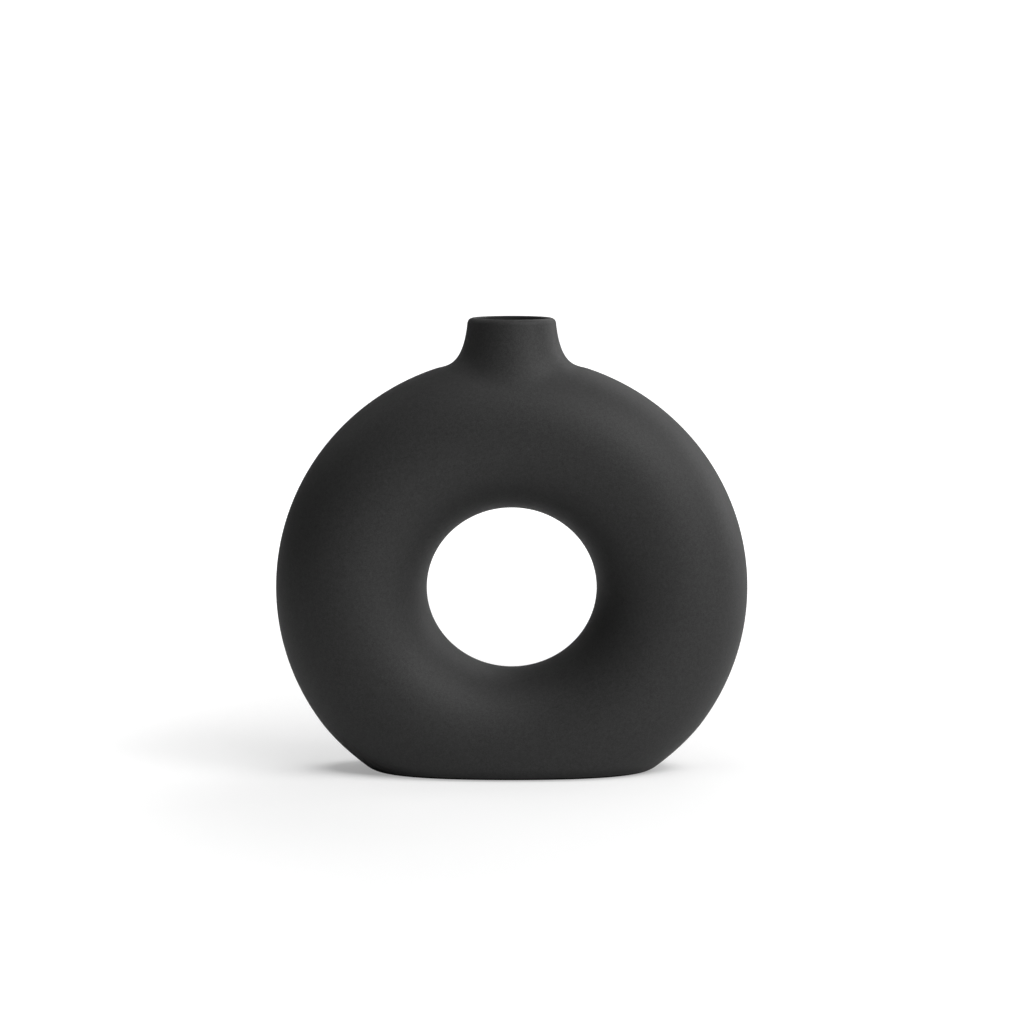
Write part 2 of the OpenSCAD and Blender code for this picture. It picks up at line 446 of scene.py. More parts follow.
class ShellGrid:
    """One surface of half of the ring, outside or inside, open at the neck and at the foot."""

    def __init__(self, draft, scene, radius, side, inward):
        sizes = scene.vase_ring
        foot = scene.vase_foot
        ring = Ring(sizes)
        facing = -1 if inward else 1
        angles = foot_angles(ring, tip_shares(ring, foot), foot.seam_height)
        crest = TOP - sizes.patch_reach
        left = np.linspace(TOP - 2 * math.pi + sizes.patch_reach, BOTTOM - angles[0], SIDE_COLUMNS + 1)
        right = 3 * math.pi - left[::-1]
        over = np.linspace(crest, crest + 2 * sizes.patch_reach, PATCH_COLUMNS + 1)
        self.u = np.concatenate([left[:-1], BOTTOM - angles, BOTTOM + angles[-2::-1], right[1:], over[1:-1]])
        start = ring.level_v(self.u, foot.seam_height, radius)
        t = np.linspace(0, 1, TUBE_ROWS + 1)
        lower = start[:, None] + (QUARTER - start[:, None]) * t[:-1]
        upper = np.broadcast_to(QUARTER * (1 + t), (len(self.u), TUBE_ROWS + 1))
        v = np.concatenate([lower, upper], axis=1)
        points, normals = ring.surface(self.u[:, None], v, radius, side)
        self.patch = len(self.u) - PATCH_COLUMNS + 1
        kept = np.ones(v.shape, bool)
        kept[self.patch :, :TUBE_ROWS] = False
        numbers = np.full(v.shape, -1)
        numbers[kept] = draft.add(points[kept], facing * normals[kept])
        self.numbers = np.concatenate([numbers, numbers[:1]])
        flip = inward != (side > 0)
        draft.quads(self.numbers, flip=flip)
        self.crest_patch(draft, scene, ring, radius, side, facing, flip)

    def crest_patch(self, draft, scene, ring, radius, side, facing, flip):
        """The lines that lead from the edge of the crest's patch in to the collar."""
        sizes = scene.vase_ring
        first, last = self.numbers[self.patch - 1], self.numbers[-1]
        inner = self.numbers[self.patch - 1 :, TUBE_ROWS]
        edge = np.concatenate([last[:TUBE_ROWS], inner[::-1], first[:TUBE_ROWS][::-1]])
        u, v = patch_edge(sizes)
        u = u + QUARTER
        low_u, low_v = footprint(ring, scene.vase_neck, patch_turns(ring, sizes), radius)
        t = np.linspace(0, 1, PATCH_ROWS + 1)[1:, None]
        points, normals = ring.surface(u + (low_u - u) * t, v + (low_v - v) * t, radius, side)
        self.spokes = np.concatenate([edge[None], draft.add(points, facing * normals)])
        draft.quads(self.spokes, flip=not flip)


def half_shell(scene, name, side):
    """Half of the ring's wall, split down its middle plane."""
    ring = Ring(scene.vase_ring)
    seam = scene.vase_foot.seam_height
    draft = MeshDraft()
    outer = ShellGrid(draft, scene, ring.outer_r, side, inward=False)
    inner = ShellGrid(draft, scene, ring.hollow_r, side, inward=True)
    front = side < 0

    def rim(a, b, flip):
        draft.quads(np.stack([a, b]), curved=False, flip=flip == front)

    rim(outer.numbers[:, -1], inner.numbers[:, -1], True)
    for spoke, flip in ((0, True), (-1, False)):
        rim(outer.spokes[:, spoke], inner.spokes[:, spoke], flip)
    rim(outer.spokes[-1], inner.spokes[-1], True)

    span = slice(0, outer.patch)
    u = outer.u[span]
    outer_cut = ring.level_v(u, seam, ring.outer_r) > 0
    inner_cut = ring.level_v(u, seam, ring.hollow_r) > HAIR
    centre, outward = ring.centre_line(u)
    reach = (seam - centre[:, 1]) / np.where(outer_cut, outward[:, 1], 1)
    middle = np.stack([centre[:, 0] + reach * outward[:, 0], np.zeros_like(u), np.full_like(u, seam)], -1)
    between = outer_cut & ~inner_cut & (reach > ring.hollow_r * (1 + HAIR))
    a = outer.numbers[span, 0]
    b = inner.numbers[span, 0].copy()
    m = a.copy()
    m[between] = draft.add(middle[between], (0, 0, -1))
    m[outer_cut & ~between] = b[outer_cut & ~between]
    rim(m, b, False)
    rim(a, m, False)
    draft.pare(scene.vase_foot)
    return draft.finish(name, GLAZE)


def along_surface_slope(normal, turn):
    """Rise of a surface for each step outward from the neck's axis."""
    return -(normal[:, 0] * np.cos(turn) + normal[:, 1] * np.sin(turn)) / normal[:, 2]


def over_ring(ring, neck, turn, radius):
    """Radius and height of the collar's outline on the tube, and the tube's slope and normal there."""
    u, v = footprint(ring, neck, turn, radius)
    point, normal = ring.surface(u, v, radius, 1)
    normal[:, 1] *= np.sign(np.sin(turn))
    low = np.stack([collar_radius(neck, turn), point[:, 2]], -1)
    return low, along_surface_slope(normal, turn), normal


def lay_direction(slope):
    """Unit step outward along a slope, as radius and height."""
    return unit(np.stack([np.ones_like(slope), slope], -1))


def lip_circle(neck):
    """Centre and radius of the half-round lip, as thick as the wall under it."""
    radius = (neck.diameter - neck.mouth) / 4
    return np.array([neck.mouth / 2 + radius, neck.lip_height - radius]), radius


def flare_profile(scene, turn, t):
    """Radius and height down the outside of the neck, from the lip at 0 to the ring at 1."""
    neck = scene.vase_neck
    ring = Ring(scene.vase_ring)
    lip_centre, lip_r = lip_circle(neck)
    low, slope, _ = over_ring(ring, neck, turn, ring.outer_r)
    frontness = np.sin(turn)[:, None] ** 2
    run = neck.side_run + (neck.front_run - neck.side_run) * frontness
    lay = neck.side_lay + (neck.front_lay - neck.side_lay) * frontness
    high = lip_centre + lip_r * np.array([math.cos(neck.lean), math.sin(neck.lean)])
    high_handle = high + run * np.array([math.sin(neck.lean), -math.cos(neck.lean)])
    return cubic(high, high_handle, low - lay * lay_direction(slope), low, t)


def throat_profile(scene, turn, t):
    """Radius and height down the throat, from the bore at 0 to the inside of the ring at 1."""
    neck = scene.vase_neck
    ring = Ring(scene.vase_ring)
    low, slope, _ = over_ring(ring, neck, turn, ring.hollow_r)
    high = np.array([neck.mouth / 2, neck.throat_height])
    high_handle = high - np.array([0, neck.throat_run])
    return cubic(high, high_handle, low - neck.throat_lay * lay_direction(slope), low, t)


def turned(profile, turn):
    """A profile of radius and height, carried round the neck's axis."""
    radius = profile[..., 0]
    return np.stack(np.broadcast_arrays(radius * np.cos(turn), radius * np.sin(turn), profile[..., 1]), -1)


def turned_surface(profile, scene, turn, t):
    """Points and normals of a surface that a profile sweeps round the neck's axis."""

    def at(turn_step=0, t_step=0):
        near = turn + turn_step
        return turned(profile(scene, near, t + t_step), near)

    normals = np.cross(at(t_step=-NUDGE) - at(t_step=NUDGE), at(turn_step=NUDGE) - at(turn_step=-NUDGE))
    return at(), -unit(normals)


def neck_piece(scene):
    """The neck with its lip, bore, throat and collar, out to where the shells begin."""
    neck = scene.vase_neck
    ring = Ring(scene.vase_ring)
    half = np.pi + (np.pi - patch_turns(ring, scene.vase_ring))
    turn = np.concatenate([half, (2 * np.pi - half[-2:0:-1]) + 2 * np.pi])
    flare_t = np.linspace(1, 0, FLARE_ROWS + 1)
    flare, flare_normals = turned_surface(flare_profile, scene, turn, flare_t)
    flare_normals[0] = over_ring(ring, neck, turn, ring.outer_r)[2]

    lip_centre, lip_r = lip_circle(neck)
    lip_turn = np.linspace(neck.lean, math.pi, LIP_ROWS + 1)[1:, None]
    lip_lean = np.stack([np.cos(lip_turn), np.sin(lip_turn)], -1)
    lip = lip_centre + lip_r * lip_lean
    bore_z = np.linspace(neck.lip_height - lip_r, neck.throat_height, BORE_ROWS + 1)[1:-1, None]
    bore = np.stack([np.full_like(bore_z, neck.mouth / 2), bore_z], -1)
    bore_lean = np.broadcast_to(np.array([-1.0, 0.0]), bore.shape)
    throat_t = np.linspace(0, 1, THROAT_ROWS + 1)
    throat, throat_normals = turned_surface(throat_profile, scene, turn, throat_t)
    throat_normals = -throat_normals
    throat_normals[-1] = -over_ring(ring, neck, turn, ring.hollow_r)[2]
    points = np.concatenate([flare, turned(np.concatenate([lip, bore]), turn), throat])
    leans = turned(np.concatenate([lip_lean, bore_lean]), turn)
    normals = np.concatenate([flare_normals, leans, throat_normals])
    draft = MeshDraft()
    numbers = closed(draft.add(points, normals))
    # The inside of the lip, and the bore and throat below it, take the painted shade's material
    neck_shade = FLARE_ROWS + LIP_ROWS - NECK_SHADE_ROWS
    draft.quads(numbers[: neck_shade + 1], flip=True)
    draft.quads(numbers[neck_shade:], flip=True, finish=1)
    draft.quads(np.stack([numbers[-1], numbers[0]]), curved=False, flip=True)
    return draft.finish("neck_glazed", GLAZE, NECK_SHADE)


def foot_level(ring, shares, z, inset):
    """Points round the foot at a level, drawn in by inset, with their level and full normals."""
    angles = foot_angles(ring, shares, z)
    u = np.concatenate([BOTTOM - angles, BOTTOM + angles[-2::-1]])
    v = ring.level_v(u, z, ring.outer_r)
    front, front_normal = ring.surface(u, v, ring.outer_r, -1)
    mirror = np.array([1, -1, 1])
    points = np.concatenate([front, front[-2:0:-1] * mirror])
    normals = np.concatenate([front_normal, front_normal[-2:0:-1] * mirror])
    points[:, 2] = z
    level = unit(normals * np.array([1, 1, 0]))
    return points - inset * level, level, normals


def base_slab(scene):
    """The slab that closes the ring, flat on top, with a sponged edge and a recess under it."""
    foot = scene.vase_foot
    ring = Ring(scene.vase_ring)
    shares = tip_shares(ring, foot)
    edge_r = foot.edge_radius
    up = np.array([0, 0, 1])
    rows, leans = [], []
    for z in np.linspace(foot.seam_height, foot.rim_height + edge_r, SIDE_ROWS + 1):
        points, _, normals = foot_level(ring, shares, z, 0)
        rows.append(points)
        leans.append(normals)
    for turn in np.linspace(QUARTER, 0, EDGE_ROWS + 1)[1:]:
        z = foot.rim_height + edge_r * (1 - math.cos(turn))
        points, level, normals = foot_level(ring, shares, z, edge_r * (1 - math.sin(turn)))
        taper = -normals[:, 2:] / np.linalg.norm(normals[:, :2], axis=-1, keepdims=True)
        outward = edge_r * math.sin(turn) * taper + edge_r * math.cos(turn)
        lean = edge_r * math.sin(turn) * level - outward * up
        rows.append(points)
        leans.append(unit(lean))

    soft = foot.soft_edge
    inset = edge_r + foot.rim
    corner = np.linspace(0, QUARTER, CORNER_ROWS + 1)
    brink = [(inset - soft + soft * math.sin(a), soft - soft * math.cos(a), a) for a in corner]
    top = foot.recess - soft
    fillet = [(inset + soft - soft * math.cos(a), top + soft * math.sin(a), QUARTER - a) for a in corner]
    for depth, rise, turn in brink + fillet:
        points, level, _ = foot_level(ring, shares, foot.rim_height, depth)
        points[:, 2] += rise
        rows.append(points)
        leans.append(-math.sin(turn) * level - math.cos(turn) * up)

    draft = MeshDraft()
    numbers = draft.add(np.stack(rows), np.stack(leans))
    glaze_line = SIDE_ROWS + GLAZED_ROWS
    draft.quads(closed(numbers)[: glaze_line + 1])
    draft.quads(closed(numbers)[glaze_line:], finish=1)
    half = len(numbers[0]) // 2
    for row, flip in ((numbers[0], True), (numbers[-1], False)):
        back = np.concatenate([row[:1], row[: half - 1 : -1]])
        draft.quads(np.stack([row[: half + 1], back]), curved=False, flip=flip, finish=1)
    draft.pare(foot)
    return draft.finish("base_slab_glazed", FOOT_GLAZE, FOOT_CLAY)


def felt_pad(scene, node, random):
    """A punched disc of pressed felt with a soft edge and an uneven face."""
    sizes = scene.vase_pads
    low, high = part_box(node)
    centre = (low + high) / 2
    radius = (high.x - low.x) / 2
    soft = sizes.soft_edge
    turn = np.linspace(0, 2 * math.pi, PAD_SECTORS, endpoint=False)
    inner = np.linspace(0, radius - soft, PAD_RINGS + 1)[1:]
    corner = np.linspace(0, QUARTER, PAD_CORNER_ROWS + 1)[1:]
    rounded = [(radius - soft + soft * math.sin(a), soft - soft * math.cos(a)) for a in corner]
    bottom = [(r, 0) for r in inner] + rounded
    thick = high.z - low.z
    profile = bottom + [(r, thick - z) for r, z in reversed(bottom)]
    points = np.array([[(r * math.cos(a), r * math.sin(a), z) for a in turn] for r, z in profile])
    points[:, :, 2] += (points[:, :, 2] < soft / 2) * random.uniform(0, sizes.fuzz, points.shape[:2])
    edge = np.hypot(points[:, :, 0], points[:, :, 1]) > radius - soft
    shrink = 1 - edge * random.uniform(0, sizes.fuzz, points.shape[:2]) / radius
    points[:, :, :2] *= shrink[..., None]
    points += np.array([centre.x, centre.y, low.z])
    draft = MeshDraft()
    numbers = closed(draft.add(points, (0, 0, 0)))
    draft.quads(numbers, flip=True)
    for row, z, flip in ((numbers[0], low.z, False), (numbers[-1], high.z, True)):
        hub = draft.add(np.array([[centre.x, centre.y, z]]), (0, 0, 0))
        draft.quads(np.stack([row, np.full_like(row, hub[0])]), flip=flip)
    return draft.finish(f"{node}_felt", FELT)


class NodeSheet:
    """Places and joins the nodes of one material or one node group."""

    def __init__(self, tree):
        self.tree = tree

    def node(self, kind, values=None, **settings):
        """Adds a node, sets it up and joins or sets its inputs by name."""
        made = self.tree.nodes.new(kind)
        for name, value in settings.items():
            setattr(made, name, value)
        for name, value in (values or {}).items():
            self.feed(made.inputs[name], value)
        return made

    def feed(self, socket, value):
        """Joins an output to the socket, or sets it to a plain value or colour."""
        if isinstance(value, NodeSocket):
            self.tree.links.new(value, socket)
        elif socket.type == "RGBA":
            socket.default_value = (*value, 1.0)
        else:
            socket.default_value = value

    def result(self, operation, a, b=0.0, clamp=False):
        """The result of a sum on one or two values."""
        return self.node("ShaderNodeMath", {0: a, 1: b}, operation=operation, use_clamp=clamp).outputs[0]

    plus = partialmethod(result, "ADD")
    minus = partialmethod(result, "SUBTRACT")
    times = partialmethod(result, "MULTIPLY")
    over = partialmethod(result, "DIVIDE")

    def mix(self, share_of_b, a, b):
        """A colour between a and b."""
        made = self.node("ShaderNodeMix", data_type="RGBA")
        for socket, value in zip(MIX_INPUTS, (share_of_b, a, b)):
            self.feed(made.inputs[socket], value)
        return made.outputs[MIX_RESULT]

    def ramp(self, value, low, high):
        """The value as a share of the way from low to high, eased at both ends."""
        values = {"Value": value, "From Min": low, "From Max": high}
        return self.node("ShaderNodeMapRange", values, interpolation_type="SMOOTHSTEP").outputs[0]

    def noise(self, vector, scale, detail=2.0, roughness=0.5):
        """A soft noise between 0 and 1."""
        values = {"Vector": vector, "Scale": scale, "Detail": detail, "Roughness": roughness}
        return self.node("ShaderNodeTexNoise", values).outputs[0]

    def place(self):
        """The point on the object, in metres."""
        return self.node("ShaderNodeTexCoord").outputs["Object"]

    def upward(self, vector):
        """The part of a vector that points up."""
        return self.node("ShaderNodeSeparateXYZ", {0: vector}).outputs["Z"]

    def vector(self, operation, a, b):
        """The vector that comes of a sum on two vectors."""
        return self.node("ShaderNodeVectorMath", {0: a, 1: b}, operation=operation).outputs["Vector"]

    def size_of(self, vector):
        """The length of a vector."""
        return self.node("ShaderNodeVectorMath", {0: vector}, operation="LENGTH").outputs["Value"]


def new_group(name, inputs, outputs):
    """An empty node group's sheet, and the sockets of its input and output nodes."""
    tree = bpy.data.node_groups.new(name, "ShaderNodeTree")
    for label, default in inputs.items():
        socket = tree.interface.new_socket(label, in_out="INPUT", socket_type="NodeSocketFloat")
        socket.default_value = default
    for label in outputs:
        tree.interface.new_socket(label, in_out="OUTPUT", socket_type="NodeSocketFloat")
    sheet = NodeSheet(tree)
    return sheet, tree.nodes.new("NodeGroupInput").outputs, tree.nodes.new("NodeGroupOutput").inputs


def fired_grain_group():
    """Sandy grain of a matte fired surface: its height, and a mask of paler flecks."""
    fine_share, coarse_step, fleck_step = 0.7, 3.0, 1.6
    fleck_heart, fleck_edge = 0.12, 0.42
    values = {"Size": 0.0005, "Fleck Share": 0.1}
    sheet, given, result = new_group("Fired Grain", values, ["Height", "Fleck"])
    place = sheet.place()
    scale = sheet.over(1.0, given["Size"])
    fine = sheet.noise(place, scale, detail=3.0, roughness=0.6)
    coarse = sheet.noise(place, sheet.over(scale, coarse_step))
    height = sheet.plus(sheet.times(fine, fine_share), sheet.times(coarse, 1 - fine_share))
    sheet.feed(result["Height"], height)
    spots = {"Vector": place, "Scale": sheet.over(scale, fleck_step)}
    cells = sheet.node("ShaderNodeTexVoronoi", spots).outputs
    chosen = sheet.node("ShaderNodeSeparateColor", {0: cells["Color"]}).outputs[0]
    picked = sheet.result("LESS_THAN", chosen, given["Fleck Share"])
    dot = sheet.minus(1.0, sheet.ramp(cells["Distance"], fleck_heart, fleck_edge))
    sheet.feed(result["Fleck"], sheet.times(picked, dot))
    return sheet.tree


def kiln_cloud_group():
    """Soft clouds that the firing leaves in a surface, between 0 and 1."""
    sheet, given, result = new_group("Kiln Cloud", {"Size": 0.03, "Contrast": 1.0}, ["Cloud"])
    wide = sheet.noise(sheet.place(), sheet.over(1.0, given["Size"]), detail=3.0, roughness=0.55)
    centred = sheet.times(sheet.minus(wide, MIDDLE), given["Contrast"])
    sheet.feed(result["Cloud"], sheet.plus(centred, MIDDLE, clamp=True))
    return sheet.tree


def worn_edge_group():
    """Mask of the wear round a level edge, broken up by noise."""
    chip_scale = 900.0
    sheet, given, result = new_group("Worn Edge", {"Level": 0.0, "Reach": 0.002, "Break": 0.5}, ["Wear"])
    place = sheet.place()
    away = sheet.result("ABSOLUTE", sheet.minus(sheet.upward(place), given["Level"]))
    rough = sheet.times(sheet.noise(place, chip_scale, detail=3.0, roughness=0.65), given["Break"])
    near = sheet.minus(1.0, sheet.plus(sheet.over(away, given["Reach"]), rough), clamp=True)
    sheet.feed(result["Wear"], sheet.ramp(near, 0.0, 1.0))
    return sheet.tree


def shared_group(sheet, name, **values):
    """Places a shared group in a material, with its own values."""
    makers = {"Fired Grain": fired_grain_group, "Kiln Cloud": kiln_cloud_group, "Worn Edge": worn_edge_group}
    tree = bpy.data.node_groups.get(name) or makers[name]()
    inputs = {label.replace("_", " "): value for label, value in values.items()}
    return sheet.node("ShaderNodeGroup", inputs, node_tree=tree).outputs


def blank_material(name, roughness, gloss):
    """A new material's sheet, and its shader's inputs."""
    material = bpy.data.materials.new(name)
    material.use_nodes = True
    material.node_tree.nodes.clear()
    sheet = NodeSheet(material.node_tree)
    shader = sheet.node("ShaderNodeBsdfPrincipled", {"Roughness": roughness, "Specular IOR Level": gloss})
    sheet.node("ShaderNodeOutputMaterial", {"Surface": shader.outputs["BSDF"]})
    return sheet, shader.inputs


def paint(sheet, shader, colour, height, relief):
    """Gives a shader its colour, and a bump from a height."""
    bump = sheet.node("ShaderNodeBump", {"Height": height, "Strength": 1.0, "Distance": relief})
    sheet.feed(shader["Base Color"], colour)
    sheet.feed(shader["Normal"], bump.outputs[0])


def toned(rgb, factor):
    """The colour made lighter or darker."""
    return [c * factor for c in rgb]


def glaze_layer(sheet, look):
    """Colour, grain height and roughness of the matte glaze."""
    fleck_paleness, cloud_roughening = 0.3, 0.5
    grain = shared_group(sheet, "Fired Grain", Size=look.grain, Fleck_Share=look.fleck_share)
    cloud = shared_group(sheet, "Kiln Cloud", Size=look.cloud, Contrast=1.0)["Cloud"]
    from_grain = sheet.times(sheet.minus(grain["Height"], MIDDLE), look.grain_contrast)
    from_cloud = sheet.times(sheet.minus(cloud, MIDDLE), look.cloud_contrast)
    tone = sheet.plus(sheet.plus(from_grain, from_cloud), MIDDLE, clamp=True)
    body = sheet.mix(tone, toned(look.glaze, 1 - look.tone_spread), toned(look.glaze, 1 + look.tone_spread))
    colour = sheet.mix(sheet.times(grain["Fleck"], fleck_paleness), body, look.glaze_thin)
    roughness = sheet.plus(look.roughness, sheet.times(from_cloud, cloud_roughening))
    return colour, grain["Height"], roughness


def charcoal_glaze(scene):
    """Matte charcoal glaze with a sandy grain, thinner and paler round the lip."""
    look = scene.vase_finish
    worn_paleness, worn_polish = 0.5, 0.08
    sheet, shader = blank_material(GLAZE, look.roughness, look.gloss)
    colour, height, roughness = glaze_layer(sheet, look)
    lip = scene.vase_neck.lip_height
    wear = shared_group(sheet, "Worn Edge", Level=lip, Reach=0.0012, Break=0.6)["Wear"]
    colour = sheet.mix(sheet.times(wear, worn_paleness), colour, look.glaze_thin)
    sheet.feed(shader["Roughness"], sheet.minus(roughness, sheet.times(wear, worn_polish)))
    paint(sheet, shader, colour, height, look.grain_height)


def neck_shade_glaze(scene):
    """Painted shade inside the neck, up to the lip: a darker glaze that reflects less."""
    look = scene.vase_finish
    dark, pale = 0.6, 1.4
    sheet, shader = blank_material(NECK_SHADE, look.roughness, look.neck_shade_gloss)
    grain = shared_group(sheet, "Fired Grain", Size=look.grain, Fleck_Share=look.fleck_share)["Height"]
    colour = sheet.mix(grain, toned(look.neck_shade, dark), toned(look.neck_shade, pale))
    paint(sheet, shader, colour, grain, look.grain_height)


def foot_glaze(scene):
    """The charcoal glaze on the foot, with a painted shade that darkens it towards the floor, up to a
    wavering height.
    """
    look = scene.vase_finish
    waver_scale, waver_height = 140.0, 0.0004
    sheet, shader = blank_material(FOOT_GLAZE, look.roughness, look.gloss)
    colour, height, roughness = glaze_layer(sheet, look)
    place = sheet.place()
    waver = sheet.times(sheet.noise(place, waver_scale, detail=3.0), -waver_height)
    level = sheet.plus(sheet.upward(place), waver)
    # Painted shade: darkest at the floor, fading out at a wavering height
    painted_base_shade = sheet.minus(1.0, sheet.ramp(level, 0.0, look.base_shade_height))
    sheet.feed(shader["Roughness"], roughness)
    colour = sheet.mix(sheet.times(painted_base_shade, look.painted_base_shade), colour, BLACK)
    paint(sheet, shader, colour, height, look.grain_height)


def foot_clay(scene):
    """Bare stoneware under the foot, with a painted near-black shade where it does not face straight down,
    round the edge and in the recess.
    """
    look = scene.vase_finish
    grain_shade, grog_strength = 0.75, 0.8
    worn_share, worn_paleness = 0.35, 1.5
    shaded_past, bare_past = 0.94, 0.995
    tooth = 0.00009
    sheet, shader = blank_material(FOOT_CLAY, CLAY_ROUGHNESS, look.clay_gloss)
    grog = shared_group(sheet, "Fired Grain", Size=0.0011, Fleck_Share=0.22)
    rim = scene.vase_foot.rim_height
    wear = shared_group(sheet, "Worn Edge", Level=rim, Reach=0.0008, Break=0.7)["Wear"]
    facing = sheet.upward(sheet.node("ShaderNodeNewGeometry").outputs["Normal"])
    # Painted shade: clay that does not face straight down turns near black
    under = sheet.ramp(sheet.times(facing, -1.0), shaded_past, bare_past)
    clay = sheet.mix(grog["Height"], look.clay, toned(look.clay, grain_shade))
    clay = sheet.mix(sheet.times(grog["Fleck"], grog_strength), clay, look.clay_dark)
    clay = sheet.mix(sheet.times(wear, worn_share), clay, toned(look.clay, worn_paleness))
    paint(sheet, shader, sheet.mix(under, look.clay_shade, clay), grog["Height"], tooth)


def pressed_felt(scene):
    """Pressed wool felt of matted fibres, with a few pale ones."""
    look = scene.vase_finish
    skew, stretch = (0.4, 0.3, 1.1), (1.0, 7.0, 3.0)
    fibre_scales = (1100.0, 900.0)
    pale_from, pale_past, paleness = 0.62, 0.74, 0.5
    dark, light, relief = 0.7, 1.3, 0.0002
    sheet, shader = blank_material(FELT, FELT_ROUGHNESS, FELT_GLOSS)
    place = sheet.place()
    skewed = sheet.node("ShaderNodeMapping", {"Vector": place, "Rotation": skew}).outputs[0]
    layers = []
    for lie, scale in zip((place, skewed), fibre_scales):
        drawn = sheet.node("ShaderNodeMapping", {"Vector": lie, "Scale": stretch}).outputs[0]
        layers.append(sheet.noise(drawn, scale, detail=4.0, roughness=0.7))
    fibres = sheet.result("MAXIMUM", *layers)
    pale = sheet.times(sheet.ramp(fibres, pale_from, pale_past), paleness)
    cloud = shared_group(sheet, "Kiln Cloud", Size=0.004, Contrast=1.5)["Cloud"]
    body = sheet.mix(cloud, toned(look.felt, dark), toned(look.felt, light))
    paint(sheet, shader, sheet.mix(pale, body, look.felt_light), fibres, relief)
    shader["Sheen Weight"].default_value = 0.35
    shader["Sheen Roughness"].default_value = 0.6


def seamless_paper(scene):
    """White paper with a faint tooth; the camera alone sees it dimmed, under a painted glow and painted
    shade.
    """
    sizes = scene.vase_studio
    mottle_scale, mottle = 3.0, 0.995
    tooth_scale, tooth = 900.0, 0.00002
    sheet, shader = blank_material(PAPER, PAPER_ROUGHNESS, PAPER_GLOSS)
    place = sheet.place()
    paper = sheet.mix(sheet.noise(place, mottle_scale), sizes.floor_white, toned(sizes.floor_white, mottle))
    # For camera rays only: the paper is dimmed and a painted glow laid on, less of it round the foot as
    # painted shade
    seen = sheet.node("ShaderNodeLightPath").outputs["Is Camera Ray"]
    shown = sheet.mix(sheet.times(seen, 1 - sizes.floor_shading), paper, BLACK)
    paint(sheet, shader, shown, sheet.noise(place, tooth_scale), tooth)
    pulled = sheet.vector("MULTIPLY", place, (WHITE_PULL, 1.0, 1.0))
    far = sheet.ramp(sheet.size_of(pulled), WHITE_FROM, WHITE_PAST)
    beside = sheet.vector("SUBTRACT", place, SHADE_SHIFT)
    in_feet = sheet.vector("MULTIPLY", beside, (2 / SHADE_SIZE[0], 2 / SHADE_SIZE[1], 1.0))
    out = sheet.size_of(beside)
    from_foot = sheet.minus(out, sheet.over(out, sheet.size_of(in_feet)))
    near = sheet.minus(1.0, sheet.over(from_foot, SHADE_REACH), clamp=True)
    painted_shade = sheet.times(sheet.times(near, near), SHADE_DEPTH)
    painted_glow = sheet.mix(far, sheet.minus(sizes.floor_glow, painted_shade, clamp=True), WHITE)
    sheet.feed(shader["Emission Color"], sheet.mix(seen, BLACK, painted_glow))
    shader["Emission Strength"].default_value = 1.0


MATERIAL_MAKERS = {
    GLAZE: charcoal_glaze,
    NECK_SHADE: neck_shade_glaze,
    FOOT_GLAZE: foot_glaze,
    FOOT_CLAY: foot_clay,
    FELT: pressed_felt,
    PAPER: seamless_paper,
}


def material_named(name):
    """The material of that name, made when it is first needed."""
    if name not in bpy.data.materials:
        MATERIAL_MAKERS[name](bpy.context.scene)
    return bpy.data.materials[name]


def seamless_floor(scene):
    """Floor and wall in one sheet, with a wide sweep between them."""
    sizes = scene.vase_studio
    bend = [
        (sizes.floor_back + sizes.sweep_radius * math.sin(a), sizes.sweep_radius * (1 - math.cos(a)))
        for a in np.linspace(0, QUARTER, SWEEP_POINTS)
    ]
    top = (sizes.floor_back + sizes.sweep_radius, sizes.sweep_height)
    profile = [(-sizes.floor_front, 0), (0, 0), *bend, top]
    across = (-sizes.floor_width / 2, sizes.floor_width / 2)
    points = np.array([[(x, y, z) for x in across] for y, z in profile])
    mesh = bpy.data.meshes.new("seamless_floor")
    faces = [(2 * i, 2 * i + 1, 2 * i + 3, 2 * i + 2) for i in range(len(profile) - 1)]
    mesh.from_pydata(points.reshape(-1, 3).tolist(), [], faces)
    mesh.polygons.foreach_set("use_smooth", [True] * len(faces))
    mesh.materials.append(material_named(PAPER))
    placed("seamless_floor", mesh)


def soft_light(scene, name, turn, rise, distance, width, power):
    """A soft square light that is turned to the vase, out of the camera's sight."""
    data = bpy.data.lights.new(name, "AREA")
    data.shape = "SQUARE"
    data.size = width
    data.energy = power
    light = placed(name, data)
    level = math.cos(rise)
    aim = Vector((0, 0, scene.vase_studio.light_aim))
    away = Vector((math.sin(turn) * level, -math.cos(turn) * level, math.sin(rise)))
    light.location = aim + distance * away
    light.rotation_euler = away.to_track_quat("Z", "Y").to_euler()
    light.visible_camera = False


def studio_world(scene):
    """White all round to the camera, and no light of its own."""
    world = bpy.data.worlds.new("Studio")
    scene.world = world
    world.use_nodes = True
    sheet = NodeSheet(world.node_tree)
    backdrop = world.node_tree.nodes["Background"]
    sheet.feed(backdrop.inputs["Color"], WHITE)
    sheet.feed(backdrop.inputs["Strength"], sheet.node("ShaderNodeLightPath").outputs["Is Camera Ray"])


def studio_camera(scene):
    """A long lens that looks a little down on the vase."""
    sizes = scene.vase_studio
    data = bpy.data.cameras.new("studio_camera")
    data.lens = sizes.lens
    data.sensor_width = SENSOR
    data.clip_start = NEAREST
    data.clip_end = FARTHEST
    camera = placed("studio_camera", data)
    camera.location = (sizes.camera_x, -sizes.camera_distance, sizes.camera_height)
    camera.rotation_euler = (QUARTER - sizes.camera_tilt, 0, 0)
    scene.camera = camera


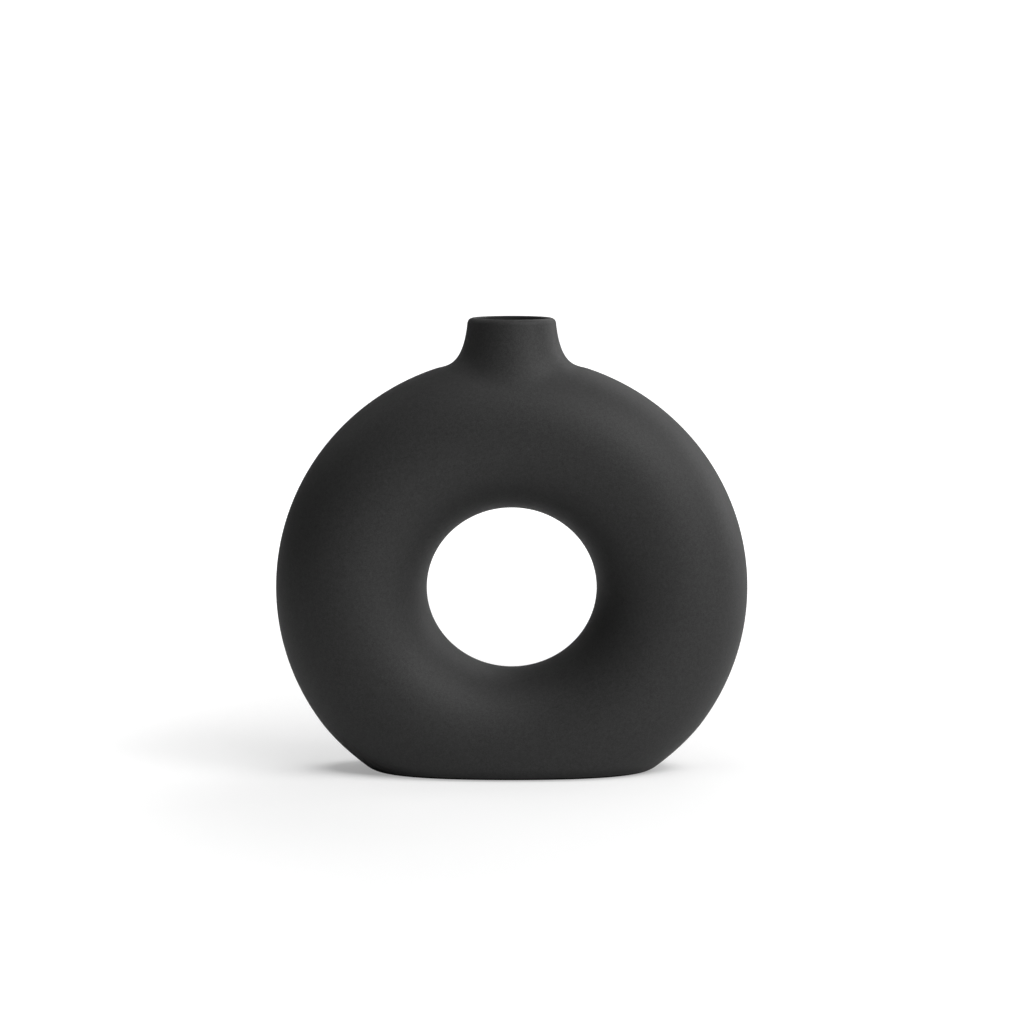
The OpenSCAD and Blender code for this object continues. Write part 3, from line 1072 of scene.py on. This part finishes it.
class VASE_OT_shells(Operator):
    """Make the front and back half of the hollow ring"""

    bl_idname = "vase.shells"
    bl_label = "Ring Shells"

    def execute(self, context):
        for node, side in (("front_shell", -1), ("back_shell", 1)):
            seat(half_shell(context.scene, f"{node}_glazed", side), node)
        return {"FINISHED"}


class VASE_OT_neck(Operator):
    """Make the neck, its lip and its collar"""

    bl_idname = "vase.neck"
    bl_label = "Neck"

    def execute(self, context):
        seat(neck_piece(context.scene), "neck")
        return {"FINISHED"}


class VASE_OT_base_slab(Operator):
    """Make the slab under the ring"""

    bl_idname = "vase.base_slab"
    bl_label = "Base Slab"

    def execute(self, context):
        seat(base_slab(context.scene), "base_slab")
        return {"FINISHED"}


class VASE_OT_felt_pads(Operator):
    """Make the four felt pads under the foot"""

    bl_idname = "vase.felt_pads"
    bl_label = "Felt Pads"

    def execute(self, context):
        random = np.random.default_rng(context.scene.vase_pads.seed)
        for node in sorted(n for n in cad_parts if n.startswith("foot_pad_")):
            seat(felt_pad(context.scene, node, random), node)
        return {"FINISHED"}


class VASE_OT_studio(Operator):
    """Make the seamless floor, the lights and the camera"""

    bl_idname = "vase.studio"
    bl_label = "Studio"

    def execute(self, context):
        scene = context.scene
        studio_camera(scene)
        seamless_floor(scene)
        studio_world(scene)
        for name, turn, rise, distance, width, power in STUDIO_LIGHTS:
            soft_light(scene, name, math.radians(turn), math.radians(rise), distance, width, power)
        scene.view_settings.view_transform = "Standard"
        return {"FINISHED"}


OPERATORS = (VASE_OT_studio, VASE_OT_shells, VASE_OT_neck, VASE_OT_base_slab, VASE_OT_felt_pads)
SETTINGS = {
    "vase_ring": RingSizes,
    "vase_neck": NeckSizes,
    "vase_foot": FootSizes,
    "vase_pads": PadSizes,
    "vase_finish": FinishLook,
    "vase_studio": StudioSizes,
}


class VASE_PT_build(Panel):
    """The vase's sizes and finishes, and a button for each group of pieces"""

    bl_idname = "VASE_PT_build"
    bl_label = "Ring Vase"
    bl_space_type = "VIEW_3D"
    bl_region_type = "UI"
    bl_category = "Vase"

    def draw(self, context):
        for name, group in SETTINGS.items():
            box = self.layout.box()
            box.label(text=group.__doc__)
            settings = getattr(context.scene, name)
            for key in group.__annotations__:
                box.prop(settings, key)
        for operator in OPERATORS:
            self.layout.operator(operator.bl_idname)


CLASSES = (*SETTINGS.values(), *OPERATORS, VASE_PT_build)


def register():
    """Registers the classes and gives each scene its settings."""
    for cls in CLASSES:
        bpy.utils.register_class(cls)
    for name, group in SETTINGS.items():
        setattr(bpy.types.Scene, name, PointerProperty(type=group))


def unregister():
    """Takes the settings and the classes away again."""
    for name in SETTINGS:
        delattr(bpy.types.Scene, name)
    for cls in reversed(CLASSES):
        bpy.utils.unregister_class(cls)


def main():
    """Builds the studio and every piece."""
    register()
    bpy.ops.vase.studio()
    bpy.ops.vase.shells()
    bpy.ops.vase.neck()
    bpy.ops.vase.base_slab()
    bpy.ops.vase.felt_pads()


if __name__ == "__main__":
    main()
